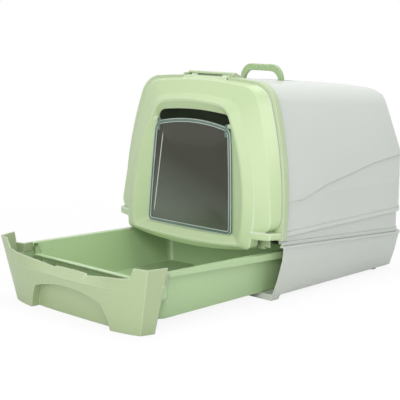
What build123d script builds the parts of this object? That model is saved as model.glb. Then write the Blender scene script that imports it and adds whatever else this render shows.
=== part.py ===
from build123d import *
import math
import os

# Drawer litter box: a tub with a pull-out tray, a hood, and a domed front with a swing flap.
# Millimetres. +Z up, the front faces -Y, x = 0 is the plane of symmetry and z = 0 the floor.
# The pieces are modelled with y = 0 at the tub's front edge. export_node then moves them all
# so that the origin is the bottom centre of the object with its drawer pulled out.

# ---- driving dimensions: tub ----
tub_half_low = 174.0        # half width at the floor
tub_half_knee = 190.0       # half width at the knee, below which the wall flares most
tub_half_bend = 201.5
tub_half_high = 206.5       # half width at the post height
knee_height = 40.0
bend_height = 78.0
post_height = 117.0         # height at which the last half width is met
tub_depth = 386.0           # rear face of the rim
tub_rear_lean = 5.0         # how far the rear wall leans in at the floor
tub_corner_low = 22.0       # rear corner radius at the floor
tub_corner_high = 44.0      # rear corner radius at the post height
tub_wall = 3.0
rim_front_height = 106.5    # top of the rim at the front edge
rim_rear_height = 80.0      # top of the rim at the rear
rim_lip_half = 206.5        # half width over the rim's lip
rim_lip_depth = 388.0       # rear face of the lip
rim_lip_corner = 48.0
rim_lip_width = 13.0        # the lip reaches this far in from its outer edge
rim_lip_thick = 4.0
floor_underside = 9.0
floor_thick = 3.0
skirt_length = 20.0         # front stretch whose wall reaches the floor
skirt_gap = 0.5             # skirt and drawer front stop this far above the floor
guide_rib_height = 0.5
guide_rib_width = 3.0
guide_rib_half_gauge = 120.0
guide_rib_end = 30.0        # the ribs end this far in front of the rear wall
foot_radius = 10.0
foot_inset_front = 36.0
foot_inset_rear = 50.0
foot_half_gauge = 152.0
foot_chamfer = 1.0

# ---- driving dimensions: hood ----
front_lean = 4.0            # lean of the hood's mouth, degrees
hood_half = 199.0           # half width at mid height
hood_half_low = 203.5
hood_half_roof = 156.5      # half width where the sides meet the roof, before rounding
hood_mid_height = 240.0
hood_side_height = 391.0    # height of that meeting, at the front
hood_crown = 399.5          # roof height at x = 0, at the front
hood_shoulder = 52.0        # rounding between side and roof
hood_roof_fall = 0.075      # fall of the roof per mm towards the rear
hood_rear = 388.0           # rear face
hood_rear_knee = 240.0      # the rear wall leans forward above this height
hood_rear_slope = 0.25
hood_rear_corner = 50.0
hood_top_corner = 66.0      # the same rounding at crown height
hood_top_corner_half = 172.0  # half width there, beyond the sides, that sets where it starts
hood_rear_round = 60.0      # rounding between roof and rear wall
hood_wall = 2.6
hood_root = 10.0            # the hood's side curve starts this far below the rim's rear
groove_height = 124.0       # low edge of the hood's main wall
band_step = 5.0             # the low band stands in by this
hood_flange_height = 7.0    # band at the hood's low edge
hood_flange_proud = 2.0
swoosh_step = 1.6           # relief of the lower side panel
swoosh_low = 132.0          # low edge of that panel
swoosh_points = [(50.0, 185.0), (121.5, 204.8), (209.0, 218.6), (270.0, 228.8), (353.0, 235.7)]
seat_gap = 0.3              # clearance between pieces that seat on each other
clip_width = 7.0
clip_depth = 8.0
clip_chamfer = 1.2

# ---- driving dimensions: handle ----
handle_half = 55.0          # half width over the bail's feet
handle_half_top = 50.0      # half width at the grip, before rounding
handle_bar = 13.0           # height of the grip bar
handle_leg = 8.0            # width of the bail's legs
handle_depth = 8.0          # thickness of the bail, front to rear
handle_rise = 35.0          # pivot to top of the grip
handle_foot = 5.0           # the feet end this far below the pivot
handle_corner = 29.0
handle_y = 167.0
handle_sink = 4.5           # the pivot lies this far below the roof
handle_pin_radius = 2.0
pin_clear = 0.06            # radial running clearance of every pin
scallop_count = 5
scallop_pitch = 8.0
scallop_radius = 5.0
scallop_depth = 1.4
well_depth = 7.5            # from the pivot to the floor of the well
well_margin = 3.0
well_wall = 2.4

# ---- driving dimensions: front frame ----
frame_half = 203.0
frame_half_low = 207.5
frame_half_roof = 160.5
frame_side_height = 393.5
frame_crown = 402.0
frame_shoulder = 53.0
frame_low = 118.0
frame_depth = 12.0
frame_seat = 5.0            # the frame reaches this far inside the door's edge
frame_opening_corner = 45.0
frame_sill_gap = 1.0        # the flap swings over the frame's low bar with this clearance
spigot_length = 9.0         # tongue that enters the hood
spigot_thick = 2.4
lip_half = 59.0             # raised lip over the door's hinge
lip_wall = 3.0
lip_front = 21.5
lip_rear = 50.0
lip_edge = 1.2              # thickness of the lip's rear edge
lip_cheek = 12.0            # the lip's side walls reach this far in front of its edge
lip_cheek_drop = 6.0
lip_bevel = 1.5             # rounding of the lip's front edge, seen from the side
lip_bevel_run = 4.0
lip_top = 408.0
lip_slot_top = 403.3
lip_box_low = 388.5         # underside of the hinge housing
lip_box_rear = 30.0
cheek_inner = 128.0
cheek_outer = 165.0
cheek_low = 97.0
cheek_wing = 178.0          # outer end of the cheek's raised part
cheek_wing_low = 101.5
cheek_depth = 10.0
cheek_wall = 2.4

# ---- driving dimensions: front door ----
door_wall = 2.6
door_low = 130.0            # low edge of the dome
skirt_low = 121.0           # low edge of the ledge under it
ledge_proud = 1.5           # the ledge stands out from the dome by this
ledge_corner = 5.0
rim_half = 197.3            # the dome's rear edge, seated on the frame
rim_half_low = 205.0
rim_half_roof = 155.5
rim_side_height = 388.0
rim_crown = 397.5
rim_shoulder = 50.0
rim_corner = 30.0
face_lean = 5.2             # lean of the edge between the dome's side and its face, degrees
face_front = 32.0           # how far that edge stands out at its foot
face_half = 181.0
face_half_low = 196.5
face_half_roof = 138.0
face_side_height = 386.0
face_crown = 396.0
face_shoulder = 46.0
face_corner = 22.0
pod_lean = 5.0              # lean of the pod's root on the face, degrees
pod_front = 44.5
pod_root = 24.0             # rear edge of the chin's side walls
pod_half = 156.0
pod_half_low = 160.0
pod_half_roof = 104.0
pod_side_height = 360.0
pod_crown = 370.0
pod_shoulder = 42.0
pod_low = 101.0
pod_corner = 9.0
chin_bow = 13.0             # how far the chin's centre hangs below its corners
crest_lean = 4.6            # lean of the ridge round the window, degrees
crest_front = 51.5
crest_half = 137.0
crest_half_low = 143.0
crest_half_roof = 90.0
crest_side_height = 353.5
crest_crown = 361.0
crest_shoulder = 38.0
crest_low = 105.0
crest_corner = 12.0
crest_bow = 7.0
crest_flat = 3.0            # width of the ridge
window_lean = 2.9
window_front = 34.5
window_half = 98.5
window_half_low = 105.8
window_half_roof = 93.0
window_low = 121.5
window_side_height = 334.0
window_crown = 340.5
window_shoulder = 17.0
window_corner = 5.0
window_bow = 0.5
hinge_y = 20.0
hinge_z = 399.0
hinge_rod_radius = 2.0
hinge_rod_half = 58.5
hinge_barrel_radius = 3.8
hinge_ear_x = 40.0
hinge_ear_width = 14.0
tongue_half = 54.5
tongue_thick = 2.6
tongue_front = 5.0          # the tongue's front end reaches this far in front of the gauge plane
tongue_run = 7.0            # length of its slope down to the dome's top
tongue_root = 5.0           # depth of its root under the dome's top

# ---- driving dimensions: flap ----
flap_lean = 3.0             # lean of the flap at rest, degrees
flap_half_low = 102.5
flap_half = 96.3
flap_half_roof = 91.0
flap_low = 125.0
flap_side_height = 305.0
flap_crown = 315.5
flap_corner = 9.0
flap_foot_corner = 4.0
flap_bow = 0.5
flap_thick = 3.0
flap_rim = 5.0              # width of the thick rim
flap_rim_thick = 6.0
pivot_z = 315.0
pivot_y = -27.0
pivot_radius = 2.0
pivot_half_span = 94.5      # outer end of the flap's pins
pivot_boss_radius = 4.5
pivot_boss_inner = 92.3
pivot_boss_outer = 101.0
pivot_bore_end = 95.5
flap_ear_x = 87.5
flap_ear_width = 6.0
flap_ear_drop = 22.0        # the ear's stem reaches this far below the pivot

# ---- driving dimensions: drawer ----
drawer_pull = 290.0         # how far the drawer stands out at rest
tray_low = 13.0
tray_wall = 2.6
tray_front = 19.0           # front wall at rim height, drawer closed
tray_length = 345.0
tray_half_low = 150.0
tray_half_high = 171.0
tray_end_lean = 14.0        # how far the end walls lean
tray_corner = 14.0
tray_rim_front = 100.0
tray_rim_rear = 88.0
tray_front_wall_top = 79.0
notch_half_low = 165.0      # half width of the low front wall
notch_half_high = 168.0     # half width at the height of the open top
notch_height = 110.0
notch_reach = 16.0
rim_width = 8.5
rim_drop_front = 7.0
rim_drop_rear = 14.0
rim_thick = 2.2

# ---- driving dimensions: drawer fascia ----
fascia_wall = 3.0
fascia_top = 117.4
fascia_rear_gap = 0.5
web_low = 82.0              # web between the ear and the tray's front corner
web_high = 99.0
web_thick = 3.0
crease_half_high = 196.7
crease_half_low = 166.0
crease_y_high = 36.0        # how far the crease stands out from the tub's edge
crease_y_low = 25.0
fascia_bow = 16.0           # how far the centre bows out beyond the crease
bow_power = 4.0
ear_share = 0.862           # inner edge of the ear, as a share of the crease's half width
dip_share = 0.838           # end of the dip
bump_share = 0.23           # end of the finger bump
dip_end_height = 99.0
dip_height = 82.5
dip_back = 17.0             # how far the dip's edge lies behind the front face
dip_back_share = 0.7        # share of the half width at which it no longer does
bump_rise = 3.0
shelf_low = 73.0            # height where the front face turns into the dip
shelf_proud = 1.8           # the fold there overhangs the face by this
shelf_fall = 4.0            # height of the slope under the fold
shelf_rise = 2.0
arch_half_low = 107.0
arch_half = 99.0
arch_half_high = 88.0
arch_mid = 24.0
arch_side_height = 44.0
arch_crown = 58.0
arch_shoulder = 8.0
arch_depth = 17.0
boss_radius = 5.0
boss_length = 14.0
boss_x = 118.0
boss_low_z = 34.0
boss_high_z = 62.0
boss_rib_thick = 3.0
screw_radius = 1.9
screw_head_radius = 4.0
screw_head_height = 2.0
screw_length = 14.0
screw_clear = 0.2
screw_seat_gap = 1.2        # the screw's head stands this far off the sloping wall
screw_hole_spare = 3.0      # the boss's hole is this much shorter than the screw

# ---- worked out ----
flare = (tub_half_high - tub_half_low) / post_height
rim_fall = (rim_front_height - rim_rear_height) / tub_depth
crease_lean = (crease_y_high - crease_y_low) / fascia_top
fascia_front = crease_y_low + crease_lean * shelf_low + fascia_bow + shelf_proud
origin_y = (rim_lip_depth - fascia_front - drawer_pull) / 2
floor_top = floor_underside + floor_thick
tall = frame_crown + 100.0
far = 2 * tub_depth
mouth_slope = math.tan(math.radians(front_lean))


def rim_height(y):
    """Height of the tub's rim at a distance behind the front edge."""
    return rim_front_height - rim_fall * y


def roof_height(y, x=0.0):
    """Height of the hood's roof, with its crown approximated by a parabola."""
    drop = (hood_crown - hood_side_height) * (x / hood_half_roof) ** 2
    return hood_crown - hood_roof_fall * y - drop


handle_pivot_z = roof_height(handle_y, handle_half) - handle_sink


def export_node(shape, name):
    moved = shape.moved(Location((0, -origin_y, 0)))
    export_step(moved, "parts/" + name + ".step")


def drawer_node(shape, name):
    export_node(shape.moved(Location((0, -drawer_pull, 0))), name)


def leaning_plane(y, lean, foot=frame_low):
    """Plane facing -Y that passes through y at height foot and leans back above it."""
    turn = math.radians(lean)
    up = Vector(0, math.sin(turn), math.cos(turn))
    origin = Vector(0, y, foot) - up * foot
    return Plane(origin=origin, x_dir=(1, 0, 0), z_dir=(0, -math.cos(turn), math.sin(turn)))


def arch_face(plane, halves, heights, shoulder, corner=0.0, bow=0.0):
    """Closed outline with a low edge, curved sides and a crowned top.

    halves are the half widths at the low edge, at mid height and at the top of the sides.
    heights are those three heights and the crown.
    """
    half_low, half_mid, half_high = halves
    low, mid, high, crown = heights
    with BuildSketch(plane) as sketch:
        with BuildLine():
            if bow:
                ThreePointArc((-half_low, low), (0, low - bow), (half_low, low))
            else:
                Line((-half_low, low), (half_low, low))
            ThreePointArc((half_low, low), (half_mid, mid), (half_high, high))
            ThreePointArc((half_high, high), (0, crown), (-half_high, high))
            ThreePointArc((-half_high, high), (-half_mid, mid), (-half_low, low))
        make_face()
        fillet(sketch.vertices().group_by(Axis.Y)[-1], shoulder)
        if corner:
            fillet(sketch.vertices().group_by(Axis.Y)[0], corner)
    return sketch.sketch.faces()[0]


def back_from(face, length):
    """Extrudes an upright outline towards the rear."""
    return extrude(face, length, dir=(0, 1, 0))


def side_prism(points, half):
    """Solid between -half and half along X whose outline in (y, z) is the list of points."""
    face = make_face(Plane.YZ * Polyline(*points, close=True))
    return extrude(face, half, both=True)


def plan_face(height, half, front, rear, corner):
    """Plan outline with a square front and round rear corners."""
    with BuildSketch(Plane.XY.offset(height)) as sketch:
        with BuildLine():
            Polyline((-half, front), (half, front), (half, rear), (-half, rear), close=True)
        make_face()
        fillet(sketch.vertices().group_by(Axis.Y)[-1], corner)
    return sketch.sketch.faces()[0]


def cylinder_x(radius, x_low, x_high, y, z):
    """Cylinder along X."""
    return Pos((x_low + x_high) / 2, y, z) * Rot(0, 90, 0) * Cylinder(radius, x_high - x_low)


def cylinder_y(radius, x, y_low, y_high, z):
    """Cylinder along Y."""
    return Pos(x, (y_low + y_high) / 2, z) * Rot(90, 0, 0) * Cylinder(radius, y_high - y_low)


def box_between(low, high):
    centre = [(a + b) / 2 for a, b in zip(low, high)]
    size = [b - a for a, b in zip(low, high)]
    return Pos(*centre) * Box(*size)


# ---- tub ----
def tub_block(inset, front):
    """The tub's flared form, drawn in by inset on its sides and rear."""
    side = inset * math.hypot(1.0, flare)
    sections = []
    for half, height in (
        (tub_half_low, 0.0),
        (tub_half_knee, knee_height),
        (tub_half_bend, bend_height),
        (tub_half_high, post_height),
    ):
        share = height / post_height
        rear = tub_depth - inset - tub_rear_lean * (1 - share)
        corner = tub_corner_low + (tub_corner_high - tub_corner_low) * share - inset
        sections.append(plan_face(height, half - side, front, rear, corner))
    return loft(sections, ruled=True)


def make_tub():
    rear = rim_lip_depth + 1
    profile = [(0, skirt_gap), (skirt_length, skirt_gap), (skirt_length, floor_underside)]
    profile += [(rear, floor_underside), (rear, rim_height(rear)), (0, rim_front_height)]
    outer = tub_block(0, 0) & side_prism(profile, rim_lip_half)
    cavity_side = side_prism([(-2, floor_top), (far, floor_top), (far, tall), (-2, tall)], far)
    hollow_low = (-far, tub_wall, -1)
    hollow_high = (far, skirt_length + 1, floor_underside)
    skirt_hollow = tub_block(tub_wall, tub_wall) & box_between(hollow_low, hollow_high)
    tub = outer - (tub_block(tub_wall, -1) & cavity_side) - skirt_hollow
    lip_profile = [(0, rim_front_height - rim_lip_thick), (rear, rim_height(rear) - rim_lip_thick)]
    lip_profile += [(rear, rim_height(rear)), (0, rim_front_height)]
    lip = extrude(plan_face(0, rim_lip_half, 0, rim_lip_depth, rim_lip_corner), tall)
    inner_half = rim_lip_half - rim_lip_width
    inner_rear = rim_lip_depth - rim_lip_width
    inner = plan_face(0, inner_half, -1, inner_rear, rim_lip_corner - rim_lip_width)
    tub = tub + ((lip & side_prism(lip_profile, rim_lip_half + 1)) - extrude(inner, tall))
    for side in (-1, 1):
        x = side * guide_rib_half_gauge
        low = (x - guide_rib_width / 2, tub_wall, floor_top - 1)
        high = (x + guide_rib_width / 2, tub_depth - guide_rib_end, floor_top + guide_rib_height)
        tub = tub + box_between(low, high)
    return tub


def make_feet():
    feet = {}
    for side, side_name in ((-1, "left"), (1, "right")):
        for y, end_name in ((foot_inset_front, "front"), (tub_depth - foot_inset_rear, "rear")):
            pad = Cylinder(foot_radius, floor_underside, align=(Align.CENTER, Align.CENTER, Align.MIN))
            foot = Pos(side * foot_half_gauge, y, 0) * pad
            foot = chamfer(foot.edges().group_by(Axis.Z)[0], foot_chamfer)
            feet["foot_" + end_name + "_" + side_name] = foot
    return feet


# ---- hood ----
def hood_block(inset, front):
    """The hood's outer form drawn in by inset: outline, side profile and plan, intersected."""
    sections = []
    for y in (front, far):
        fall = hood_roof_fall * y + inset
        halves = (hood_half_low - inset, hood_half - inset, hood_half_roof - inset)
        low = rim_rear_height - hood_root
        heights = (low, hood_mid_height - fall / 2, hood_side_height - fall, hood_crown - fall)
        sections.append(arch_face(Plane.XZ.offset(-y), halves, heights, hood_shoulder - inset))
    rear = hood_rear - inset
    crown = hood_crown + 1 - inset
    crown_rear = crown - hood_roof_fall * rear
    rear_high = rear - hood_rear_slope * (crown_rear - hood_rear_knee)
    with BuildSketch(Plane.YZ) as side:
        with BuildLine():
            Polyline(
                (front, 0),
                (rear, 0),
                (rear, hood_rear_knee),
                (rear_high, crown_rear),
                (front, crown - hood_roof_fall * front),
                close=True,
            )
        make_face()
        for corner in ((rear_high, crown_rear, 0), (rear, hood_rear_knee, 0)):
            fillet(side.vertices().sort_by_distance(corner)[0], hood_rear_round - inset)
    side_form = extrude(side.sketch, hood_half_low + 1, both=True)
    corners = []
    for height, half, rear_edge, corner in (
        (0, hood_half_low + 1, rear, hood_rear_corner),
        (hood_rear_knee, hood_half_low + 1, rear, hood_rear_corner),
        (hood_crown + 1, hood_top_corner_half, rear_high + 1, hood_top_corner),
    ):
        corners.append(plan_face(height, half - inset, front, rear_edge, corner - inset))
    return loft(sections, ruled=True) & side_form & loft(corners, ruled=True)


def low_band(inset, front):
    """Upright band under the hood's main wall."""
    step = band_step + inset
    face = plan_face(0, hood_half_low - step, front, hood_rear - step, hood_rear_corner - step)
    return extrude(face, groove_height + hood_wall)


def above(offset):
    """Everything above the rim's slope, raised by offset."""
    front = rim_height(-40) + offset
    rear = rim_height(far) + offset
    return side_prism([(-40, front), (far, rear), (far, tall), (-40, tall)], far)


def behind_mouth(offset):
    """Everything behind the hood's leaning mouth, moved back by offset."""
    top_y = mouth_slope * (tall - frame_low) + offset
    return side_prism([(offset, 0), (offset, frame_low), (top_y, tall), (far, tall), (far, 0)], far)


def make_hood():
    upper = box_between((-far, -far, groove_height), (far, far, tall))
    main = (hood_block(0, 0) & upper) - hood_block(hood_wall, -1)
    ledge_face = plan_face(0, hood_half_low - 1, 0, hood_rear - 1, hood_rear_corner - 1)
    ledge = extrude(ledge_face, groove_height + hood_wall) & upper
    band = (low_band(0, 0) + ledge) & above(seat_gap)
    flange = (low_band(-hood_flange_proud, 0) & above(seat_gap)) - above(seat_gap + hood_flange_height)
    hood = main + band + flange - low_band(hood_wall, -1)
    line = [(-1, swoosh_low), (-1, swoosh_points[0][1])] + swoosh_points
    line += [(far, swoosh_points[-1][1]), (far, swoosh_low)]
    skin = hood_block(0, -1) - hood_block(swoosh_step, -2)
    hood = hood - (skin & side_prism(line, far))
    hood = add_well(hood) & behind_mouth(0)
    low = (-lip_half - seat_gap, -1, lip_box_low - seat_gap)
    high = (lip_half + seat_gap, lip_box_rear + seat_gap, tall)
    return hood - box_between(low, high)


def well_box(margin, top):
    """Space of the handle's well, grown by margin."""
    half = handle_half + well_margin + margin
    front = handle_y - handle_depth / 2 - well_margin - margin
    rear = handle_y + handle_rise + well_margin + margin
    return box_between((-half, front, handle_pivot_z - well_depth - margin), (half, rear, top))


def add_well(hood):
    hood = hood + (well_box(well_wall, tall) & hood_block(0, -1)) - well_box(0, tall)
    for side in (-1, 1):
        x_low, x_high = sorted((side * (handle_half + 1), side * (handle_half + well_margin + well_wall)))
        hood = hood - cylinder_x(handle_pin_radius, x_low, x_high, handle_y, handle_pivot_z)
    return hood


def make_clip(side):
    x_outer = hood_half_low - band_step - hood_wall
    low = (x_outer - clip_width, 1.0, rim_front_height + 2.0)
    high = (x_outer, 1.0 + clip_depth, frame_low - seat_gap)
    clip = chamfer(box_between(low, high).edges().filter_by(Axis.Y), clip_chamfer)
    return clip if side > 0 else mirror(clip, Plane.YZ)


# ---- handle ----
def bail_face(foot, inset_side, inset_top, corner):
    """Upright trapezium with a rounded top, drawn in on its sides and top."""
    top = handle_pivot_z + handle_rise - inset_top
    half = handle_half - inset_side
    half_top = handle_half_top - inset_side
    with BuildSketch(Plane.XZ.offset(-handle_y)) as sketch:
        with BuildLine():
            Polyline((-half, foot), (half, foot), (half_top, top), (-half_top, top), close=True)
        make_face()
        fillet(sketch.vertices().group_by(Axis.Y)[-1], corner)
    return sketch.sketch.faces()[0]


def make_handle():
    foot = handle_pivot_z - handle_foot
    top = handle_pivot_z + handle_rise
    bail = extrude(bail_face(foot, 0, 0, handle_corner), handle_depth / 2, both=True)
    inner = bail_face(foot - 1, handle_leg, handle_bar, handle_corner - handle_leg)
    bail = bail - extrude(inner, handle_depth, both=True)
    for index in range(scallop_count):
        x = (index - (scallop_count - 1) / 2) * scallop_pitch
        below = top - handle_bar - scallop_radius + scallop_depth
        beyond = top + scallop_radius - scallop_depth
        for z in (below, beyond):
            bail = bail - cylinder_y(scallop_radius, x, handle_y - handle_depth, handle_y + handle_depth, z)
    for side in (-1, 1):
        x_low, x_high = sorted((side * (handle_half - 2 * handle_leg), side * (handle_half + 1)))
        bail = bail - cylinder_x(handle_pin_radius + pin_clear, x_low, x_high, handle_y, handle_pivot_z)
    return bail


def make_handle_pin(side):
    inner = side * (handle_half - handle_leg)
    outer = side * (handle_half + well_margin + well_wall)
    x_low, x_high = sorted((inner, outer))
    return cylinder_x(handle_pin_radius, x_low, x_high, handle_y, handle_pivot_z)


# ---- front frame ----
def make_lip():
    """Housing of the door's hinge with the raised lip over it."""
    housing = box_between((-lip_half, 0, lip_box_low), (lip_half, lip_box_rear, lip_slot_top + 1))
    under = roof_height(lip_rear) + seat_gap
    start = lip_front - lip_cheek
    points = [(start, lip_slot_top - lip_cheek_drop), (lip_front, lip_top - lip_bevel)]
    points += [(lip_front + lip_bevel_run, lip_top)]
    points += [(lip_rear, under + lip_edge), (lip_rear, under)]
    points += [(lip_box_rear - 1, roof_height(lip_box_rear) + seat_gap), (lip_box_rear - 1, lip_box_low)]
    points += [(start, lip_box_low)]
    housing = housing + side_prism(points, lip_half)
    half = lip_half - lip_wall
    low = lip_box_low + lip_wall
    housing = housing - box_between((-half, -20, low), (half, lip_box_rear - lip_wall, lip_slot_top))
    housing = housing - box_between((-half, -20, lip_slot_top - 1), (half, lip_front, tall))
    return housing & behind_mouth(-frame_depth)


def make_frame():
    plane = leaning_plane(-frame_depth, front_lean)
    halves = (frame_half_low, frame_half, frame_half_roof)
    heights = (frame_low, hood_mid_height, frame_side_height, frame_crown)
    ring = back_from(arch_face(plane, halves, heights, frame_shoulder), frame_depth)
    spigot = hood_block(hood_wall + seat_gap, -1) - hood_block(hood_wall + seat_gap + spigot_thick, -2)
    spigot = (spigot & behind_mouth(-1)) - behind_mouth(spigot_length)
    low = groove_height + hood_wall + 2
    frame = ring + (spigot & box_between((-far, -far, low), (far, far, tall)))
    sill = flap_low - flap_bow - frame_sill_gap
    opening_face = rim_face(frame_seat, -2.0, sill - frame_seat, frame_opening_corner)
    opening = back_from(opening_face, frame_depth + spigot_length + 20)
    gap = box_between((-lip_half, -30, lip_box_low), (lip_half, lip_box_rear, tall))
    frame = (frame - opening - gap) + make_lip()
    for side in (-1, 1):
        x_low, x_high = sorted((side * cheek_inner, side * cheek_outer))
        front = -cheek_depth - seat_gap
        cheek = box_between((x_low, front, cheek_low), (x_high, -seat_gap, frame_low + 1))
        hollow_low = (x_low + cheek_wall, front + cheek_wall, cheek_low - 1)
        frame = frame + (cheek - box_between(hollow_low, (x_high - cheek_wall, 1, frame_low)))
        x_low, x_high = sorted((side * (cheek_outer - 1), side * cheek_wing))
        wing_high = (x_high, front + cheek_wall, frame_low + 1)
        frame = frame + box_between((x_low, front, cheek_wing_low), wing_high)
    return frame - cylinder_x(hinge_rod_radius, -lip_half - 1, lip_half + 1, hinge_y, hinge_z)


def make_hinge_rod():
    return cylinder_x(hinge_rod_radius, -hinge_rod_half, hinge_rod_half, hinge_y, hinge_z)


# ---- front door ----
def rim_face(inset, back, low=door_low, corner=rim_corner):
    """Rear edge of the dome."""
    plane = leaning_plane(-frame_depth - seat_gap + back, front_lean)
    halves = (rim_half_low - inset, rim_half - inset, rim_half_roof - inset)
    heights = (low + inset, hood_mid_height, rim_side_height - inset, rim_crown - inset)
    return arch_face(plane, halves, heights, rim_shoulder - inset, corner - inset)


def edge_face(inset, back, low=door_low, corner=face_corner):
    """Edge between the dome's side and its face."""
    plane = leaning_plane(-face_front + back, face_lean)
    halves = (face_half_low - inset, face_half - inset, face_half_roof - inset)
    heights = (low + inset, hood_mid_height, face_side_height - inset, face_crown - inset)
    return arch_face(plane, halves, heights, face_shoulder - inset, corner - inset)


def pod_face(inset, back, low, corner, bow):
    """Root of the raised pod on the face."""
    plane = leaning_plane(-pod_front + back, pod_lean)
    halves = (pod_half_low - inset, pod_half - inset, pod_half_roof - inset)
    heights = (low + inset, hood_mid_height, pod_side_height - inset, pod_crown - inset)
    return arch_face(plane, halves, heights, pod_shoulder - inset, corner - inset, bow)


def crest_face(inset, back):
    """Ridge round the window."""
    plane = leaning_plane(-crest_front + back, crest_lean)
    halves = (crest_half_low - inset, crest_half - inset, crest_half_roof - inset)
    heights = (crest_low + inset, hood_mid_height, crest_side_height - inset, crest_crown - inset)
    return arch_face(plane, halves, heights, crest_shoulder - inset, crest_corner - inset, crest_bow)


def window_face(inset, back):
    plane = leaning_plane(-window_front + back, window_lean)
    halves = (window_half_low - inset, window_half - inset, window_half_roof - inset)
    heights = (window_low + inset, hood_mid_height, window_side_height - inset, window_crown - inset)
    return arch_face(plane, halves, heights, window_shoulder - inset, window_corner - inset, window_bow)


def dome_block(inset, back, reach):
    """The dome and the pod with its chin. reach lengthens them to the rear."""
    root = pod_face(inset, back, door_low, pod_corner, 0.0)
    skirt = loft([rim_face(inset, back), edge_face(inset, back)], ruled=True)
    if reach:
        skirt = skirt + back_from(rim_face(inset, back), reach)
    face = loft([edge_face(inset, back), root], ruled=True)
    outline = pod_face(inset, back, pod_low, pod_corner, chin_bow)
    pod = back_from(outline, pod_front - pod_root + (1.0 if reach else 0.0))
    front = loft([outline, crest_face(inset, back)], ruled=True)
    return skirt + face + pod + front


def make_ledge():
    """Hollow ledge under the dome, on both sides of the chin."""
    blocks = []
    for inset in (-ledge_proud, door_wall - ledge_proud):
        rim = rim_face(inset, 0, skirt_low, ledge_corner)
        edge = edge_face(inset, inset, skirt_low, ledge_corner)
        root = pod_face(inset, inset, skirt_low, ledge_corner, 0.0)
        blocks.append(loft([rim, edge], ruled=True) + loft([edge, root], ruled=True))
    hollow = blocks[1] + back_from(rim, frame_depth)
    hollow = hollow & box_between((-far, -far, 0), (far, far, door_low))
    half = pod_half_low - door_wall
    ledge = blocks[0] & box_between((-far, -far, 0), (far, far, door_low + door_wall))
    return ledge - hollow - box_between((-half, -far, 0), (half, far, tall))


def make_tongue():
    """Tongue from the dome's top into the lip's slot, with the barrels of the hinge."""
    high = hinge_z + tongue_thick / 2
    low = hinge_z - tongue_thick / 2
    foot = face_crown - door_wall
    bend = tongue_front + tongue_run
    points = [(0, foot), (tongue_front, high - 1), (bend, high), (hinge_y, high), (hinge_y, low)]
    points += [(bend, low), (tongue_front, rim_crown - tongue_root), (0, foot - tongue_thick)]
    tongue = side_prism(points, tongue_half)
    for side in (-1, 1):
        x_low = side * hinge_ear_x - hinge_ear_width / 2
        tongue = tongue + cylinder_x(hinge_barrel_radius, x_low, x_low + hinge_ear_width, hinge_y, hinge_z)
    return tongue - cylinder_x(hinge_rod_radius + pin_clear, -lip_half, lip_half, hinge_y, hinge_z)


def make_door():
    outer = dome_block(0, 0, 0)
    shell = outer - dome_block(door_wall, door_wall, 10.0)
    wall = loft([crest_face(crest_flat - door_wall, 0), window_face(-door_wall, 0)], ruled=True)
    wall = wall + back_from(window_face(-door_wall, 0), door_wall)
    air = loft([crest_face(crest_flat, -0.5), window_face(0, 0)], ruled=True)
    air = air + back_from(window_face(0, 0), 30)
    door = (shell + (wall & outer) + make_ledge() - air) + make_tongue()
    for side in (-1, 1):
        x_low, x_high = sorted((side * pivot_boss_inner, side * pivot_boss_outer))
        door = door + cylinder_x(pivot_boss_radius, x_low, x_high, pivot_y, pivot_z)
        x_low, x_high = sorted((side * (pivot_boss_inner - 1), side * pivot_bore_end))
        door = door - cylinder_x(pivot_radius + pin_clear, x_low, x_high, pivot_y, pivot_z)
    return door


# ---- flap ----
def flap_face(y, inset):
    plane = leaning_plane(pivot_y + y, flap_lean, pivot_z)
    halves = (flap_half_low - inset, flap_half - inset, flap_half_roof - inset)
    heights = (flap_low + inset, hood_mid_height, flap_side_height - inset, flap_crown - inset)
    return arch_face(plane, halves, heights, flap_corner, flap_foot_corner, flap_bow)


def make_flap():
    rim = back_from(flap_face(-flap_rim_thick / 2, 0), flap_rim_thick)
    rim = rim - back_from(flap_face(-flap_rim_thick / 2 - 1, flap_rim), flap_rim_thick + 2)
    flap = rim + back_from(flap_face(-flap_thick / 2, flap_rim - 1), flap_thick)
    for side in (-1, 1):
        x_low = side * flap_ear_x - flap_ear_width / 2
        x_high = x_low + flap_ear_width
        low = (x_low, pivot_y - flap_rim_thick / 2, pivot_z - flap_ear_drop)
        ear = box_between(low, (x_high, pivot_y + flap_thick / 2, pivot_z))
        ear = ear + cylinder_x(pivot_boss_radius, x_low, x_high, pivot_y, pivot_z)
        flap = flap + ear - cylinder_x(pivot_radius, x_low - 1, x_high + 1, pivot_y, pivot_z)
    return flap


def make_flap_pivot(side):
    x_low, x_high = sorted((side * (flap_ear_x - flap_ear_width / 2), side * pivot_half_span))
    return cylinder_x(pivot_radius, x_low, x_high, pivot_y, pivot_z)


# ---- drawer ----
def tray_plan(height, grow, shift):
    """Plan outline of the tray. grow widens it all round, shift draws its ends in."""
    front = tray_front - grow + shift
    rear = tray_front + tray_length + grow - shift
    side = (tray_half_high - tray_half_low) * shift / tray_end_lean
    with BuildSketch(Plane.XY.offset(height)) as sketch:
        with Locations((0, (front + rear) / 2)):
            RectangleRounded(2 * (tray_half_high - side + grow), rear - front, tray_corner + grow)
    return sketch.sketch.faces()[0]


def tray_shift(z):
    """How far the tray's end walls have leaned in at a height."""
    return tray_end_lean * (tray_rim_front - z) / (tray_rim_front - tray_low)


def tray_block(grow, low):
    """The tray's tapered form between the height low and above its rim."""
    high = tray_rim_front + 5
    return loft([tray_plan(low, grow, tray_shift(low)), tray_plan(high, grow, tray_shift(high))], ruled=True)


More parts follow.
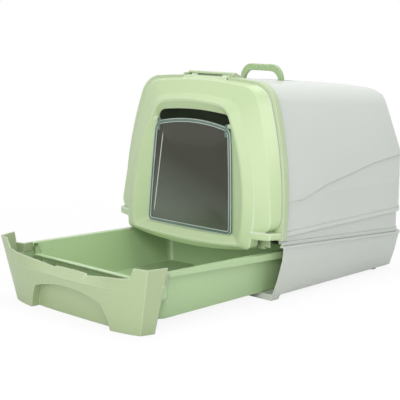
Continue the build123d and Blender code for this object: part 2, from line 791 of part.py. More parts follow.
def under_rim(drop_front, drop_rear):
    """Everything below the rim's top, lowered by a drop at the front and at the rear."""
    front = tray_front - rim_width
    rear = front + tray_length + 2 * rim_width
    points = [(front - 1, 0), (rear + 1, 0), (rear + 1, tray_rim_rear - drop_rear)]
    return side_prism(points + [(front - 1, tray_rim_front - drop_front)], far)


def boss_places():
    return [(side * boss_x, z) for side in (-1, 1) for z in (boss_low_z, boss_high_z)]


def make_tray():
    rim = extrude(tray_plan(0, rim_width, 0), tall)
    core = extrude(tray_plan(0, rim_width - rim_thick, 0), tall)
    skirt = (rim - core) & (under_rim(0, 0) - under_rim(rim_drop_front, rim_drop_rear))
    plate = rim & (under_rim(0, 0) - under_rim(rim_thick, rim_thick))
    tray = (tray_block(0, tray_low) & under_rim(0, 0)) + skirt + plate
    points = [(-notch_half_low, tray_front_wall_top), (notch_half_low, tray_front_wall_top)]
    points += [(notch_half_high, notch_height), (-notch_half_high, notch_height)]
    notch = make_face(Plane.XZ.offset(-(tray_front - 40)) * Polyline(*points, close=True))
    tray = tray - back_from(notch, 40 + notch_reach)
    front = tray_front + tray_shift(tray_front_wall_top)
    low = (-notch_half_low, front - rim_width, tray_front_wall_top - rim_thick)
    tray = tray + box_between(low, (notch_half_low, front + tray_wall / 2, tray_front_wall_top))
    tray = tray - tray_block(-tray_wall, tray_low + tray_wall)
    for x, z in boss_places():
        tray = tray - cylinder_y(screw_radius + screw_clear, x, 0, tray_front + 40, z)
    return tray


# ---- drawer fascia ----
def fascia_station(share, wall):
    """Outline of the fascia's front wall at a share of its half width. wall is its thickness."""
    reach = abs(share)
    if reach >= ear_share:
        top = fascia_top
    elif reach >= bump_share:
        top = dip_height + (dip_end_height - dip_height) * (reach - bump_share) / (dip_share - bump_share)
    else:
        top = dip_height + bump_rise
    back = dip_back * max(0.0, 1 - (reach / dip_back_share) ** 2)
    turn = shelf_low + shelf_rise * reach
    bow = fascia_bow * (1 - reach ** bow_power)
    proud = shelf_proud * max(0.0, 1 - (reach / dip_share) ** bow_power)
    outline = [(skirt_gap, 0), (turn - shelf_fall, 0), (turn, -proud), (top, back)]
    outline += [(top, back + wall), (turn, wall), (skirt_gap, wall)]
    points = []
    for z, shift in outline:
        half = crease_half_low + (crease_half_high - crease_half_low) * z / fascia_top
        points.append((share * half, shift - crease_y_low - crease_lean * z - bow, z))
    return make_face(Polyline(*points, close=True))


def front_wall(wall):
    shares = [0.0, 0.12, bump_share - 0.015, bump_share, 0.36, 0.5, 0.62, 0.74, dip_share, ear_share, 0.93, 1.0]
    stations = [-share for share in reversed(shares[1:])] + shares
    return loft([fascia_station(share, wall) for share in stations], ruled=True)


def arch_prism(grow):
    """Prism of the arch recess, open at the floor and grown by grow."""
    halves = (arch_half_low + grow, arch_half + grow, arch_half_high + grow)
    heights = (-10.0, arch_mid, arch_side_height + grow, arch_crown + grow)
    return back_from(arch_face(Plane.XZ.offset(far), halves, heights, arch_shoulder), far)


def make_wing(side):
    """Side wing from the crease back to the tub's front edge."""
    sections = []
    for outer_high, outer_low, y_high, y_low in (
        (crease_half_high, crease_half_low, -crease_y_high, -crease_y_low),
        (tub_half_high, tub_half_low, -fascia_rear_gap, -fascia_rear_gap),
    ):
        points = [
            (side * outer_high, y_high, fascia_top),
            (side * outer_low, y_low, skirt_gap),
            (side * (outer_low - fascia_wall), y_low, skirt_gap),
            (side * (outer_high - fascia_wall), y_high, fascia_top),
        ]
        sections.append(make_face(Polyline(*points, close=True)))
    return loft(sections, ruled=True)


def make_web(side):
    """Web that closes the corner between the ear and the tray's rim."""
    outer = tub_half_bend - fascia_wall
    inner = tray_half_high + rim_width - web_thick
    front = -fascia_rear_gap - web_thick
    rear = tray_front + rim_width
    points = [(outer, front), (outer, -fascia_rear_gap), (inner + web_thick + 1, web_thick)]
    points += [(inner + web_thick, rear), (inner, rear), (inner, 0), (outer - 2 * web_thick, front)]
    plan = make_face(Plane.XY.offset(web_low) * Polyline(*[(side * x, y) for x, y in points], close=True))
    web = extrude(plan, web_high - web_low, dir=(0, 0, 1))
    return web - extrude(tray_plan(0, rim_width + seat_gap, 0), tall)


def make_fascia():
    liner = front_wall(arch_depth + fascia_wall) & arch_prism(fascia_wall)
    air = front_wall(arch_depth).moved(Location((0, -0.01, 0)))
    body = front_wall(2 * fascia_front)
    fascia = front_wall(fascia_wall) + liner - (air & arch_prism(0))
    for side in (-1, 1):
        fascia = fascia + make_wing(side) + make_web(side)
        x = side * boss_x
        low = (x - boss_rib_thick / 2, -fascia_front, boss_low_z - boss_radius)
        high = (x + boss_rib_thick / 2, tray_front + tray_end_lean, boss_high_z + boss_radius)
        fascia = fascia + ((box_between(low, high) & body) - tray_block(seat_gap, 0))
    for x, z in boss_places():
        wall_y = tray_front + tray_shift(z)
        boss = cylinder_y(boss_radius, x, wall_y - boss_length, wall_y + boss_radius, z)
        fascia = fascia + (boss - tray_block(seat_gap, 0))
        hole_end = wall_y - screw_length + screw_hole_spare
        fascia = fascia - cylinder_y(screw_radius, x, hole_end, wall_y + boss_radius, z)
    return fascia


def make_screws():
    screws = []
    for x, z in boss_places():
        seat = tray_front + tray_shift(z) + tray_wall + screw_seat_gap
        screw = cylinder_y(screw_radius, x, seat - screw_length, seat + 1, z)
        screws.append(screw + cylinder_y(screw_head_radius, x, seat, seat + screw_head_height, z))
    return Compound(screws)


if __name__ == "__main__":
    os.makedirs("parts", exist_ok=True)
    export_node(make_tub(), "base_tub")
    for name, foot in make_feet().items():
        export_node(foot, name)
    export_node(make_hood(), "hood_shell")
    export_node(make_handle(), "carry_handle")
    export_node(make_frame(), "front_frame")
    export_node(make_hinge_rod(), "door_hinge_rod")
    export_node(make_door(), "front_door")
    export_node(make_flap(), "flap_panel")
    for side, side_name in ((-1, "left"), (1, "right")):
        export_node(make_clip(side), "hood_clip_" + side_name)
        export_node(make_handle_pin(side), "handle_pin_" + side_name)
        export_node(make_flap_pivot(side), "flap_pivot_" + side_name)
    drawer_node(make_tray(), "drawer_tray")
    drawer_node(make_fascia(), "drawer_fascia")
    drawer_node(make_screws(), "fascia_screws")
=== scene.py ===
import math

import bmesh
import bpy
import numpy as np
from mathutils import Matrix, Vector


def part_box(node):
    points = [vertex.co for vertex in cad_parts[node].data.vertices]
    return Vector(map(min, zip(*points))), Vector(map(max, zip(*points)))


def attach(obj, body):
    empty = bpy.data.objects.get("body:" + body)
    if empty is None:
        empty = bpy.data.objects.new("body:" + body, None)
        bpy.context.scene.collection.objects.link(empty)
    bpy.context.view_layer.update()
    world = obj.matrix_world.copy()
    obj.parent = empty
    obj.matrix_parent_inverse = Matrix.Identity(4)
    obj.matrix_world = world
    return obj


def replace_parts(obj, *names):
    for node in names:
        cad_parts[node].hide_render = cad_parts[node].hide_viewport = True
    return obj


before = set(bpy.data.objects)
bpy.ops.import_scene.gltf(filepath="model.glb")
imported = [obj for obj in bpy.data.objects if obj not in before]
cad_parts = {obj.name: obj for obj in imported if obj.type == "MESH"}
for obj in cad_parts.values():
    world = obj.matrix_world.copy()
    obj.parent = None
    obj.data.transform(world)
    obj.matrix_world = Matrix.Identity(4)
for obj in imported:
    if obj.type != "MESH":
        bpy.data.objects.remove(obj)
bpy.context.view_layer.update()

# Drawer litter box: pale hood and tub, sage green front, tray and handle, clear smoky flap.
# Metres, +Z up, the front faces -Y. Places along Y are measured from the tub's front edge, and the
# object's origin lies row_shift behind it. The drawer stands open by drawer_pull.
row_shift = 0.02418
drawer_pull = 0.29

# ---- colours, as they look in sRGB ----
shell_colour = (207, 211, 204)
dome_colour = (184, 203, 158)
frame_colour = (184, 201, 161)
tray_colour = (177, 203, 154)
fascia_colour = (167, 183, 142)
handle_colour = (164, 190, 140)
smoke_colour = (104, 106, 86)
# Painted reflection: the smoky flap turns to this paler colour towards its lower left corner.
reflection_colour = (162, 172, 156)
rim_colour = (122, 148, 136)
# Painted highlight: pale lines round the flap's clear bead and a pale ridge on its left side that stands in
# for a reflection.
highlight_colour = (226, 236, 230)
pad_colour = (186, 188, 184)
steel_colour = (150, 152, 152)
floor_colour = (240, 241, 239)

# ---- shared finish values ----
tub_tone = 0.985
cloud_scale, cloud_detail, cloud_shade = 5.0, 3.0, 0.975
cloud_in_tone, speck_in_tone, tone_start = 1.4, 0.15, -0.3
cloud_in_roughness, speck_in_roughness, roughness_start = 0.07, 0.06, -0.06
speck_scale, speck_detail = 1400.0, 1.0
grain_strength, grain_depth = 0.05, 0.0003
edge_gain = 9.0
# Painted highlight on edges: the colour scaled by the first number, plus the second.
edge_highlight_share, edge_highlight_white = 0.45, 140
plastic_ior = 1.49
white = (1, 1, 1, 1)


def linear(colour):
    """sRGB values from 0 to 255 as the linear values that a shader takes, by the sRGB curve."""
    share = np.asarray(colour, float) / 255
    low = share / 12.92
    high = ((share + 0.055) / 1.055) ** 2.4
    return tuple(np.where(share <= 0.04045, low, high)) + (1.0,)


def toned(colour, share):
    return np.asarray(colour, float) * share


class Wire:
    """A node socket that takes part in Python sums, so that shader maths reads as an expression."""

    def __init__(self, graph, socket):
        self.graph = graph
        self.socket = socket

    def maths(self, operation, first, second):
        return self.graph.node("ShaderNodeMath", {"operation": operation}, {0: first, 1: second})

    def __add__(self, other):
        return self.maths("ADD", self, other)

    __radd__ = __add__

    def __sub__(self, other):
        return self.maths("SUBTRACT", self, other)

    def __rsub__(self, other):
        return self.maths("SUBTRACT", other, self)

    def __mul__(self, other):
        return self.maths("MULTIPLY", self, other)

    __rmul__ = __mul__

    def either(self, other):
        """The larger of the two, so 1 where either is."""
        return self.maths("MAXIMUM", self, other)


class Graph:
    """A node tree, whose nodes all come from one method."""

    def __init__(self, tree):
        self.tree = tree

    def feed(self, socket, value):
        if isinstance(value, Wire):
            self.tree.links.new(value.socket, socket)
        else:
            socket.default_value = value

    def node(self, kind, settings, inputs, output=0):
        """Adds a node: its settings are set first, then its sockets get their values or links."""
        made = self.tree.nodes.new(kind)
        for key, value in settings.items():
            setattr(made, key, value)
        for key, value in inputs.items():
            self.feed(made.inputs[key], value)
        return Wire(self, made.outputs[output])

    def ray(self, kind):
        """1 where the ray that asks is of that kind, else 0."""
        return self.node("ShaderNodeLightPath", {}, {}, "Is %s Ray" % kind)

    def show(self, output_name, share, first, second):
        """Sends a mix of two shaders to the tree's output."""
        mixed = self.node("ShaderNodeMixShader", {}, {0: share, 1: first, 2: second})
        self.feed(self.tree.nodes[output_name].inputs["Surface"], mixed)


class Paint(Graph):
    """A material with one Principled shader, to which patterns are wired."""

    def __init__(self, name, colour, roughness, **fixed):
        self.material = bpy.data.materials.new(name)
        self.material.use_nodes = True
        super().__init__(self.material.node_tree)
        self.shader = self.tree.nodes["Principled BSDF"]
        self.set("Base Color", linear(colour))
        self.set("Roughness", roughness)
        for key, value in fixed.items():
            self.set(key.replace("_", " "), value)

    def set(self, name, value):
        self.feed(self.shader.inputs[name], value)

    def place(self):
        return self.node("ShaderNodeTexCoord", {}, {}, "Object")

    def along(self, axis):
        return self.node("ShaderNodeSeparateXYZ", {}, {0: self.place()}, axis)

    def noise(self, scale, detail):
        inputs = {"Vector": self.place(), "Scale": scale, "Detail": detail}
        return self.node("ShaderNodeTexNoise", {}, inputs, "Fac")

    def mix(self, share, first, second):
        return self.node("ShaderNodeMix", {"data_type": "RGBA"}, {0: share, 6: first, 7: second}, 2)

    def vectors(self, operation, first, second):
        """Number that a vector operation gives, such as a dot product or a length."""
        inputs = {0: first, 1: second}
        return self.node("ShaderNodeVectorMath", {"operation": operation}, inputs, "Value")

    def clamped(self, value):
        return self.node("ShaderNodeClamp", {}, {0: value})

    def edges(self, soft):
        """Share that is 1 on an edge and 0 off it: one minus the cosine between the face's own
        normal and the rounded one, times a gain."""
        flat = self.node("ShaderNodeNewGeometry", {}, {}, "Normal")
        return self.clamped((1 - self.vectors("DOT_PRODUCT", soft, flat)) * edge_gain)

    def surface(self, soft, speck):
        """Normal of an eggshell grain over edges that are rounded already in the normal soft."""
        height = {"Strength": grain_strength, "Distance": grain_depth, "Height": speck, "Normal": soft}
        self.set("Normal", self.node("ShaderNodeBump", {}, height))


# ---- materials ----
def moulded(name, colour, roughness, rounding, edge_highlight=0.0, **fixed):
    """Moulded plastic: slow shifts of tone, a fine eggshell grain, edges rounded by rounding and,
    with edge_highlight, a painted highlight that makes the edges paler."""
    paint = Paint(name, colour, roughness, **fixed)
    cloud = paint.noise(cloud_scale, cloud_detail)
    speck = paint.noise(speck_scale, speck_detail)
    soft = paint.node("ShaderNodeBevel", {"samples": 8}, {"Radius": rounding})
    share = cloud * cloud_in_tone + speck * speck_in_tone + tone_start
    tone = paint.mix(share, linear(toned(colour, cloud_shade)), linear(colour))
    # Painted highlight: edges, found where the rounded normal leaves the flat one, are mixed towards a
    # paler colour.
    if edge_highlight:
        edge_highlight_tone = linear(toned(colour, edge_highlight_share) + edge_highlight_white)
        tone = paint.mix(paint.edges(soft) * edge_highlight, tone, edge_highlight_tone)
    paint.set("Base Color", tone)
    drift = cloud * cloud_in_roughness + speck * speck_in_roughness
    paint.set("Roughness", drift + (roughness + roughness_start))
    paint.surface(soft, speck)
    return paint.material


def smoky_sheet():
    """Smoke-tinted clear plastic, paler towards its lower left corner by a painted reflection, where it is
    also rougher.
    """
    reflection_top, reflection_rise, reflection_lean, reflection_share = 0.235, 9.0, 3.2, 0.85
    streak_shade, clearest, streak_roughness, reflection_roughness = 0.86, 0.03, 0.08, 0.12
    paint = Paint("smoky_sheet", smoke_colour, roughness=0.06, Transmission_Weight=0.72, IOR=plastic_ior)
    streak = paint.noise(scale=14.0, detail=4.0)
    # Painted reflection: its share rises towards the bottom and the left of the flap.
    reflection = paint.clamped((reflection_top - paint.along("Z")) * reflection_rise - paint.along("X") * reflection_lean)
    tone = paint.mix(streak, linear(toned(smoke_colour, streak_shade)), linear(smoke_colour))
    paint.set("Base Color", paint.mix(reflection * reflection_share, tone, linear(reflection_colour)))
    paint.set("Roughness", streak * streak_roughness + reflection * reflection_roughness + clearest)
    return paint.material


def clear_plastic(name, colour, transmission, roughness):
    """Clear moulded plastic whose tone drifts slowly along the piece."""
    streak_shade, streak_roughness = 0.84, 0.06
    paint = Paint(name, colour, roughness, Transmission_Weight=transmission, IOR=plastic_ior)
    streak = paint.noise(scale=30.0, detail=2.0)
    paint.set("Base Color", paint.mix(streak, linear(toned(colour, streak_shade)), linear(colour)))
    paint.set("Roughness", streak * streak_roughness + (roughness - streak_roughness / 2))
    return paint.material


hood_coat = {"Coat_Weight": 0.2, "Coat_Roughness": 0.25}
dome_coat = {"Coat_Weight": 0.1, "Coat_Roughness": 0.2}
glossy_coat = {"Coat_Weight": 0.15}
thin_coat = {"Coat_Weight": 0.1}
# The share given after rounding paints a pale highlight on the edges of the dome, frame, tray, fascia and
# handle.
materials = {
    "hood": moulded("pale_hood", shell_colour, roughness=0.36, rounding=0.0022, **hood_coat),
    "tub": moulded("pale_tub", toned(shell_colour, tub_tone), roughness=0.46, rounding=0.0018),
    "dome": moulded("sage_dome", dome_colour, roughness=0.4, rounding=0.0042, edge_highlight=1.0, **dome_coat),
    "frame": moulded("sage_frame", frame_colour, roughness=0.34, rounding=0.0016, edge_highlight=0.5, **glossy_coat),
    "tray": moulded("sage_tray", tray_colour, roughness=0.36, rounding=0.002, edge_highlight=0.35, **glossy_coat),
    "fascia": moulded("olive_fascia", fascia_colour, roughness=0.36, rounding=0.003, edge_highlight=0.5, **thin_coat),
    "handle": moulded("sage_handle", handle_colour, roughness=0.34, rounding=0.0007, edge_highlight=0.4),
    "pad": moulded("grey_pad", pad_colour, roughness=0.75, rounding=0.0006),
    "steel": moulded("plain_steel", steel_colour, roughness=0.3, rounding=0.0002, Metallic=1.0),
    "bead": clear_plastic("clear_bead", rim_colour, transmission=0.3, roughness=0.1),
    # Pale clear plastic for painted light: highlight lines round the flap's bead and a reflection ridge on
    # its left.
    "edge": clear_plastic("clear_highlight", highlight_colour, transmission=0.1, roughness=0.12),
    "smoke": smoky_sheet(),
}

finish = {
    "base_tub": "tub", "hood_shell": "hood", "hood_clip_left": "tub", "hood_clip_right": "tub",
    "foot_front_left": "pad", "foot_front_right": "pad", "foot_rear_left": "pad", "foot_rear_right": "pad",
    "front_frame": "frame", "front_door": "dome", "flap_panel": "smoke",
    "flap_pivot_left": "bead", "flap_pivot_right": "bead", "carry_handle": "handle",
    "door_hinge_rod": "steel", "handle_pin_left": "steel", "handle_pin_right": "steel",
    "drawer_tray": "tray", "drawer_fascia": "fascia", "fascia_screws": "steel",
}
for node_name, material_name in finish.items():
    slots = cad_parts[node_name].data.materials
    slots.clear()
    slots.append(materials[material_name])


# ---- surfaces ----
def grid_piece(name, points, material, body, closed_across=False):
    """Mesh of a grid of points, rows by columns by 3, with quads between neighbours. The last
    column joins the first, and closed_across joins the last row to the first. Points that meet
    become one, and the faces are turned outwards."""
    rows, columns = points.shape[:2]
    row = np.arange(rows if closed_across else rows - 1)[:, None]
    column = np.arange(columns)[None, :]
    next_row, next_column = (row + 1) % rows, (column + 1) % columns
    corners = [row * columns + column, row * columns + next_column]
    corners += [next_row * columns + next_column, next_row * columns + column]
    quads = np.stack(corners, axis=-1).reshape(-1, 4)
    mesh = bpy.data.meshes.new(name)
    mesh.from_pydata(points.reshape(-1, 3).tolist(), [], quads.tolist())
    mesh.validate()
    piece = bpy.data.objects.new(name, mesh)
    bpy.context.scene.collection.objects.link(piece)
    shape = bmesh.new()
    shape.from_mesh(mesh)
    bmesh.ops.remove_doubles(shape, verts=shape.verts, dist=1e-6)
    bmesh.ops.recalc_face_normals(shape, faces=shape.faces)
    shape.to_mesh(mesh)
    shape.free()
    mesh.polygons.foreach_set("use_smooth", np.ones(len(mesh.polygons), bool))
    mesh.materials.append(materials[material])
    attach(piece, body)
    return piece


def round_steps(step):
    """Angles once round a circle, in radians, step degrees apart."""
    return np.radians(np.arange(0, 360, step))


def squared_ring(step, power):
    """Unit circle drawn out towards a square: each coordinate keeps its sign and is raised to a
    power under 1."""
    angles = round_steps(step)
    ring = np.stack([np.cos(angles), np.sin(angles)], axis=1)
    return np.sign(ring) * np.abs(ring) ** power


def arc_through(start, middle, end, count):
    """Points on the circle through three points, from start to end past middle, evenly spread in
    angle. The centre comes from the circumcentre formula."""
    (ax, ay), (bx, by), (cx, cy) = start, middle, end
    spread = 2 * (ax * (by - cy) + bx * (cy - ay) + cx * (ay - by))
    a2, b2, c2 = ax * ax + ay * ay, bx * bx + by * by, cx * cx + cy * cy
    centre_x = (a2 * (by - cy) + b2 * (cy - ay) + c2 * (ay - by)) / spread
    centre_y = (a2 * (cx - bx) + b2 * (ax - cx) + c2 * (bx - ax)) / spread
    radius = math.hypot(ax - centre_x, ay - centre_y)
    first = math.atan2(ay - centre_y, ax - centre_x)
    turn = (math.atan2(cy - centre_y, cx - centre_x) - first + math.pi) % (2 * math.pi) - math.pi
    angles = first + turn * np.linspace(0, 1, count)
    return np.stack([centre_x + radius * np.cos(angles), centre_y + radius * np.sin(angles)], axis=1)


def arch_outline(halves, heights, shoulder, foot, bow):
    """Closed outline in (x, height): a low edge that hangs by bow, two curved sides and a crowned
    top, each an arc through three points. Every corner is a quadratic curve whose control point is
    the corner and whose ends lie its radius away along the two arcs."""
    fine_count, side_count, corner_count = 400, 60, 14
    half_low, half_mid, half_high = halves
    low, mid, high, crown = heights
    corners = [(-half_low, low), (half_low, low), (half_high, high), (-half_high, high)]
    middles = [(0, low - bow), (half_mid, mid), (0, crown), (-half_mid, mid)]
    radii = [foot, foot, shoulder, shoulder]
    runs = []
    for index, middle in enumerate(middles):
        after = (index + 1) % 4
        arc = arc_through(corners[index], middle, corners[after], fine_count)
        far = np.linalg.norm(arc - arc[0], axis=1) >= radii[index]
        near = np.linalg.norm(arc - arc[-1], axis=1) >= radii[after]
        arc = arc[far & near]
        runs.append(arc[np.linspace(0, len(arc) - 1, side_count).astype(int)])
    outline = []
    for index, run in enumerate(runs):
        corner = np.array(corners[(index + 1) % 4])
        following = runs[(index + 1) % 4][0]
        share = np.linspace(0, 1, corner_count)[1:-1, None]
        bend = (1 - share) ** 2 * run[-1] + 2 * share * (1 - share) * corner + share ** 2 * following
        outline += [run, bend]
    return np.concatenate(outline)


def beaded(path, profile, normal):
    """Profile carried along a closed path: a profile point (u, v) lies u along the path's inward
    side and v along normal. The inward side is normal crossed with the path's direction."""
    ahead = np.roll(path, -1, axis=0) - np.roll(path, 1, axis=0)
    ahead /= np.linalg.norm(ahead, axis=1)[:, None]
    inward = np.cross(normal, ahead)
    inward /= np.linalg.norm(inward, axis=1)[:, None]
    return np.stack([path + u * inward + v * normal for u, v in profile])


def rounded_profile(width, thick, corner, steps=5):
    """Rectangle with quarter-circle corners as (u, v), from u = 0 to width, centred in v."""
    centres = [
        (width - corner, thick / 2 - corner, 0),
        (corner, thick / 2 - corner, 90),
        (corner, corner - thick / 2, 180),
        (width - corner, corner - thick / 2, 270),
    ]
    points = []
    for u, v, start in centres:
        angles = np.radians(start + np.linspace(0, 90, steps))
        points.append(np.stack([u + corner * np.cos(angles), v + corner * np.sin(angles)], axis=1))
    return np.concatenate(points)


# ---- flap ----
flap_halves = (0.1025, 0.0963, 0.091)
flap_heights = (0.125, 0.24, 0.305, 0.3155)
flap_shoulder, flap_foot, flap_bow = 0.010, 0.004, 0.0005
pivot_y, pivot_z = -0.027, 0.315
flap_turn = math.radians(3.0)
flap_normal = np.array([0, -math.cos(flap_turn), math.sin(flap_turn)])
bead_width, bead_thick, bead_corner = 0.0074, 0.006, 0.0016
edge_radius, outer_edge_inset, inner_edge_inset = 0.0006, 0.0009, 0.0008
ridge_low, ridge_high = np.array([-0.0955, 0.1335]), np.array([-0.0765, 0.2965])
ridge_half_width, ridge_half_depth, ridge_half_height, ridge_rise = 0.0011, 0.0012, 0.0002, 0.0012
ridge_steps, ridge_taper = 30, 12
sheet_thick, sheet_tuck, sheet_crown, sheet_rings = 0.0024, 0.001, 0.0012, 14
ear_x, ear_drop, ear_length = 0.0875, 0.022, 0.026
ear_half_width, ear_half_depth, ear_swell, ear_narrowing = 0.003, 0.0032, 0.0012, 0.3
ear_steps, ear_taper = 12, 30


def on_flap(outline):
    """Stands an outline in (x, height) on the flap's plane, which passes through the pins and
    leans back by flap_turn."""
    run = outline[:, 1] - pivot_z
    y = pivot_y + run * math.sin(flap_turn) - row_shift
    return np.stack([outline[:, 0], y, pivot_z + run * math.cos(flap_turn)], axis=1)


flap_path = on_flap(arch_outline(flap_halves, flap_heights, flap_shoulder, flap_foot, flap_bow))


def flap_bead():
    """Thick clear rim: a rounded rectangle carried round the flap's outline."""
    bead = beaded(flap_path, rounded_profile(bead_width, bead_thick, bead_corner), -flap_normal)
    grid_piece("flap_bead", bead, "bead", "flap", closed_across=True)


def highlight_line(name, inset):
    """Fine round line that stands on the bead's front face, a ring carried round the flap, pale as a
    painted highlight.
    """
    angles = round_steps(step=45)
    inward = inset + edge_radius * np.cos(angles)
    rearward = edge_radius * np.sin(angles) - (bead_thick / 2 - edge_radius * 0.5)
    ring = np.stack([inward, rearward], axis=1)
    grid_piece(name, beaded(flap_path, ring, -flap_normal), "edge", "flap", closed_across=True)


def left_reflection_ridge():
    """Pale ridge on the flap's left side, a painted reflection: an oval carried along a straight line,
    closed at its ends by shrinking the oval to a point."""
    share = np.linspace(0, 1, ridge_steps)
    line = on_flap(ridge_low + share[:, None] * (ridge_high - ridge_low))
    angles = round_steps(step=30)
    radii = [ridge_half_width, ridge_half_depth, ridge_half_height]
    ring = np.stack([np.cos(angles), np.sin(angles), np.sin(angles)], axis=1) * radii
    close = np.minimum(1, np.minimum(share, 1 - share) * ridge_taper)
    points = line[:, None, :] + close[:, None, None] * ring[None, :, :] + flap_normal * ridge_rise
    grid_piece("flap_reflection_ridge", points, "edge", "flap")


def flap_sheet():
    """Thin sheet within the bead: rings that shrink from the bead to the middle, crowned forward
    by one minus the square of their reach, in front and again behind."""
    edge = beaded(flap_path, [(bead_width - sheet_tuck, 0.0)], -flap_normal)[0]
    centre = edge.mean(axis=0)
    reach = np.linspace(1.0, 0.0, sheet_rings)[:, None, None]
    sheet = centre + reach * (edge - centre)
    sheet += sheet_crown * (1 - reach ** 2) * flap_normal
    front = sheet + flap_normal * sheet_thick / 2
    rear = sheet - flap_normal * sheet_thick / 2
    return grid_piece("flap_sheet", np.concatenate([front[::-1], rear]), "smoke", "flap")


def ear_piece(name, side):
    """Pivot ear: a stem whose cross-section is a rounded rectangle that narrows to the pin and
    closes at both ends."""
    share = np.linspace(0, 1, ear_steps)
    z = pivot_z - ear_drop + ear_length * share
    y = pivot_y + (z - pivot_z) * math.sin(flap_turn) - row_shift
    width = ear_half_width * (1 - ear_narrowing * share ** 2)
    depth = ear_half_depth + ear_swell * np.sin(np.pi * share)
    close = np.minimum(1, np.minimum(share, 1 - share) * ear_taper)
    ring = squared_ring(step=15, power=0.5)
    points = np.zeros((len(share), len(ring), 3))
    points[:, :, 0] = side * ear_x + (width * close)[:, None] * ring[:, 0]
    points[:, :, 1] = y[:, None] + (depth * close)[:, None] * ring[:, 1]
    points[:, :, 2] = z[:, None]
    grid_piece(name, points, "bead", "flap")


# ---- handle ----
grip_height, grip_half_depth, grip_pitch = 0.013, 0.004, 0.008
rib_count, rib_steps, rib_half_length = 6, 7, 0.0016
rib_rise, rib_sink, rib_inset = 0.0017, 0.0004, 0.0015


def grip_ribs():
    """Ribs round the handle's grip: each is a rounded rectangle in (y, z), carried over a half
    round profile along X whose ends lie inside the bar."""
    low, high = (np.array(corner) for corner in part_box("carry_handle"))
    centre_y = (low[1] + high[1]) / 2
    centre_z = high[2] - grip_height / 2
    ring = squared_ring(step=12, power=0.4)
    turn = np.linspace(0, np.pi, rib_steps)
    swell = np.sin(turn) * rib_rise - rib_sink
    for index in range(rib_count):
        x = (index - (rib_count - 1) / 2) * grip_pitch - rib_half_length * np.cos(turn)
        points = np.zeros((len(turn), len(ring), 3))
        points[:, :, 0] = x[:, None]
        points[:, :, 1] = centre_y + (grip_half_depth + swell)[:, None] * ring[:, 0]
        points[:, :, 2] = centre_z + (grip_height / 2 - rib_inset + swell)[:, None] * ring[:, 1]
        grid_piece("grip_rib_%d" % (index + 1), points, "handle", "handle")


# ---- drawer ----
corner_low, gusset_high, web_high = 0.056, 0.097, 0.084
strip_thick, strip_steps, strip_bluntness = 0.002, 14, 0.15
web_turn = (0.178, -0.002)
web_end = (0.1775, 0.0255)
gusset_root_y, gusset_tuck = 0.034, 0.0015
tray_half, tray_taper, tray_top = 0.171, 0.021 / 0.087, 0.1
wing_half_low, wing_flare, wing_inset = 0.174, 0.0325 / 0.1169, 0.003


def upright_strip(name, side, height, start_x, start_y, end, finish_name, slot):
    """Upright strip between two edges in plan, at the heights given. Its section at each height is
    a flat oval from the start to the end, drawn to a line at the top and at the bottom."""
    start_x = np.broadcast_to(start_x, height.shape)
    reach_x = (end[0] - start_x) / 2
    reach_y = (end[1] - start_y) / 2
    run = np.hypot(reach_x, reach_y)
    angles = round_steps(step=20)[None, :]
    close = np.sin(np.linspace(0, np.pi, len(height))) ** strip_bluntness
    close[[0, -1]] = 0
    across = close[:, None] * np.sin(angles) * strip_thick / 2
    x = (start_x + reach_x)[:, None] + np.cos(angles) * reach_x[:, None] - across * (reach_y / run)[:, None]
    y = start_y + reach_y + np.cos(angles) * reach_y + across * (reach_x / run)[:, None]
    z = np.repeat(height[:, None], angles.shape[1], axis=1)
    points = np.stack([side * x, y - row_shift - drawer_pull, z], axis=2)
    grid_piece(name, points, finish_name, "drawer")


def drawer_corner(side, side_name):
    """Three strips that close the corner between the fascia and the tray: the web runs in from the
    fascia's wing, the return runs back from the web beside the tray, and the gusset joins the
    return's end to the tray's tapered wall."""
    names = ["corner_%s_%s" % (strip, side_name) for strip in ("gusset", "web", "return")]
    height = np.linspace(corner_low, gusset_high, strip_steps)
    root_x = tray_half - tray_taper * (tray_top - height) - gusset_tuck
    upright_strip(names[0], side, height, root_x, gusset_root_y, web_end, "tray", "tray_green")
    height = np.linspace(corner_low, web_high, strip_steps)
    wing_x = wing_half_low + wing_flare * height - wing_inset
    upright_strip(names[1], side, height, wing_x, web_turn[1], web_turn, "fascia", "fascia_green")
    upright_strip(names[2], side, height, *web_turn, web_end, "tray", "fascia_green")


# ---- the new pieces ----
flap_bead()
# Painted highlights: pale lines round the flap's bead.
highlight_line("flap_outer_highlight", outer_edge_inset)
highlight_line("flap_inner_highlight", bead_width - inner_edge_inset)
left_reflection_ridge()
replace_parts(flap_sheet(), "flap_panel")
grip_ribs()
ear_piece("flap_ear_left", -1)
ear_piece("flap_ear_right", 1)
drawer_corner(-1, "left")
drawer_corner(1, "right")

# ---- stage ----
floor_half = 6.0
glow_in_gloss, glow_rise, glow_start, glow_dim = 0.4, 1.6, 0.85, 0.1


def pale_floor():
    """Pale matte floor that the camera and the gloss see almost white, with a soft shadow left
    near the object: there the camera's share of white falls by glow_dim."""
    paint = Paint("pale_floor", floor_colour, roughness=0.9)
    glow = paint.node("ShaderNodeEmission", {}, {"Color": white, "Strength": 1.0})
    away = paint.vectors("LENGTH", paint.place(), (0, 0, 0))
    near = 1 - paint.clamped(away * glow_rise - glow_start)
    share = paint.ray("Camera") * (1 - near * glow_dim) + paint.ray("Glossy") * glow_in_gloss
    paint.show("Material Output", share, Wire(paint, paint.shader.outputs[0]), glow)
    return paint.material


def studio_floor():
    mesh = bpy.data.meshes.new("floor")
    corners = [(-floor_half, -floor_half, 0), (floor_half, -floor_half, 0)]
    corners += [(floor_half, floor_half, 0), (-floor_half, floor_half, 0)]
    mesh.from_pydata(corners, [], [(0, 1, 2, 3)])
    mesh.materials.append(pale_floor())
    floor = bpy.data.objects.new("floor", mesh)
    bpy.context.scene.collection.objects.link(floor)


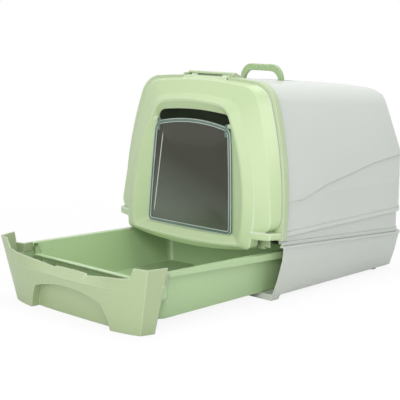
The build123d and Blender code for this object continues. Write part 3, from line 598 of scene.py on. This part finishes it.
def studio_world(colour, strength):
    """Soft even light from all round, seen as plain white by the camera, in gloss and through
    clear parts."""
    world = bpy.data.worlds.new("studio")
    bpy.context.scene.world = world
    world.use_nodes = True
    graph = Graph(world.node_tree)
    ambient = graph.tree.nodes["Background"]
    graph.feed(ambient.inputs["Color"], colour)
    graph.feed(ambient.inputs["Strength"], strength)
    plain = graph.node("ShaderNodeBackground", {}, {"Color": white, "Strength": 1.0})
    seen = graph.ray("Camera").either(graph.ray("Glossy")).either(graph.ray("Transmission"))
    graph.show("World Output", seen, Wire(graph, ambient.outputs[0]), plain)


def lamp(name, place, target, size, power, colour):
    """Square soft lamp at place, turned to shine at target."""
    light = bpy.data.lights.new(name, "AREA")
    light.size = size
    light.energy = power
    light.color = colour
    holder = bpy.data.objects.new(name, light)
    bpy.context.scene.collection.objects.link(holder)
    holder.location = place
    holder.visible_camera = False
    run = np.array(target, float) - np.array(place, float)
    tilt = math.atan2(math.hypot(run[0], run[1]), -run[2])
    holder.rotation_euler = (tilt, 0, math.atan2(run[1], run[0]) - math.pi / 2)


def camera_at(place, tilt, heading, lens):
    """Camera at place, tilt degrees up from straight down and turned left by heading degrees."""
    data = bpy.data.cameras.new("camera")
    data.lens = lens
    data.sensor_width = 36.0
    camera = bpy.data.objects.new("camera", data)
    camera.location = place
    camera.rotation_euler = (math.radians(tilt), 0, math.radians(heading))
    bpy.context.scene.collection.objects.link(camera)
    return camera


studio_floor()
studio_world(colour=(0.94, 0.96, 1.0, 1), strength=0.47)
lamp("front_right", (1.2, -1.2, 1.0), (0.2, -0.1, 0.2), size=0.6, power=9.0, colour=(1.0, 0.99, 0.97))
lamp("overhead", (0.1, 0.3, 2.6), (0, 0.1, 0.2), size=2.0, power=42.0, colour=(0.98, 0.98, 1.0))
lamp("front", (0.7, -2.8, 1.0), (0.0, -0.2, 0.15), size=1.5, power=24.0, colour=(1.0, 1.0, 0.98))

camera_place = (1.46456, -1.49930 - row_shift, 0.53673)
bpy.context.scene.camera = camera_at(camera_place, tilt=79.955, heading=44.476, lens=100.76)
bpy.context.scene.view_settings.view_transform = "Standard"
